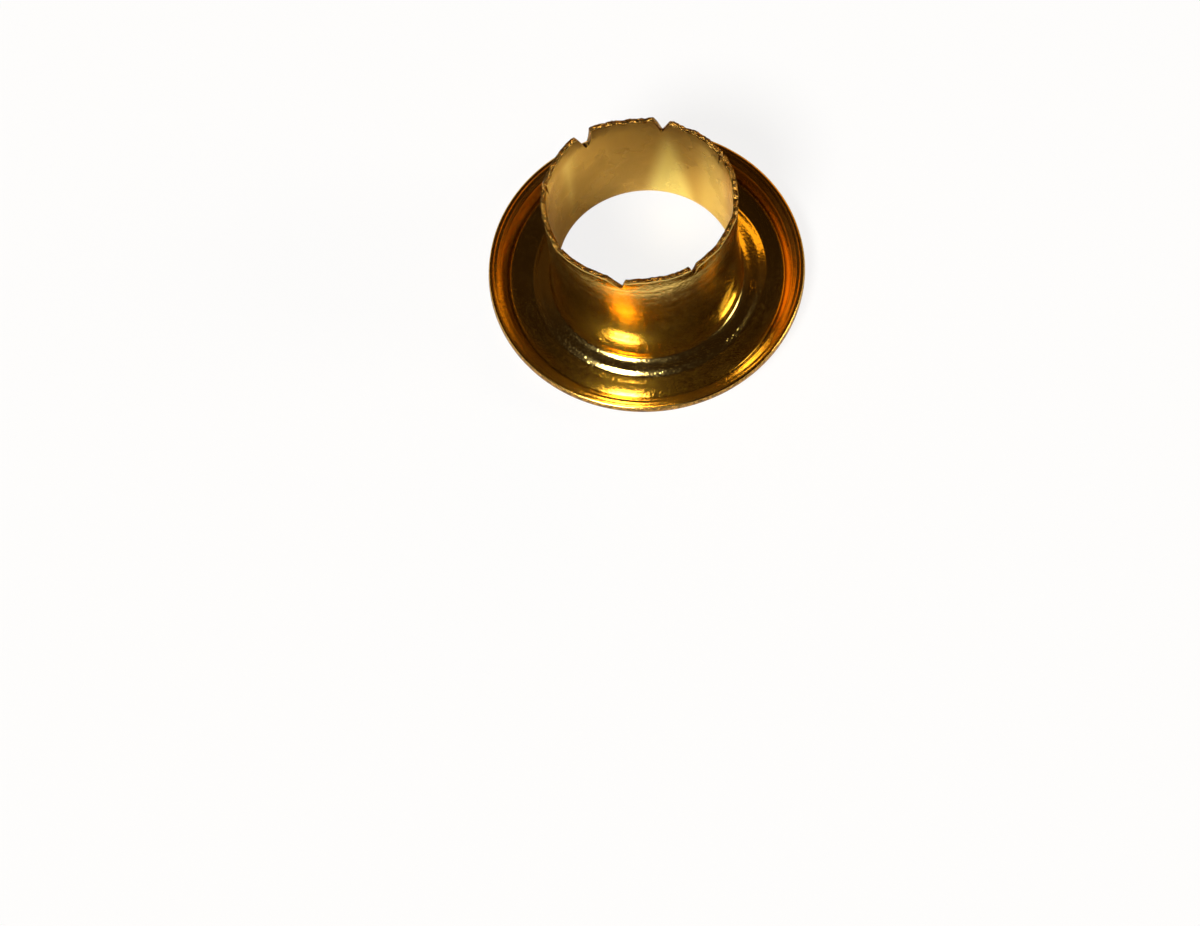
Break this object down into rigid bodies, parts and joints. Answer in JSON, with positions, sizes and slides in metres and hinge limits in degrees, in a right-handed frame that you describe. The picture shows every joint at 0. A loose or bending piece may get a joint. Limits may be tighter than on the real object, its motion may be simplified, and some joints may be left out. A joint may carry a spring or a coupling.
{
  "type": "split eyelet",
  "caption": "Drawn brass eyelet with a round barrel, a domed flange with a lip, and a torn rim that is split into petals.",
  "frame": {"origin": "on the barrel's axis, in the plane that the crown of the domed flange rests on", "axes": "+Z along the barrel from the domed flange to the torn rim, -Y towards the side that the picture shows nearest"},
  "size_m": [0.009, 0.009, 0.0047],
  "materials": {
    "brass": "bright polished outside with a fine orange-peel grain, duller inside the barrel"
  },
  "bodies": {
    "root": {"split_eyelet": "brass"}
  },
  "joints": []
}
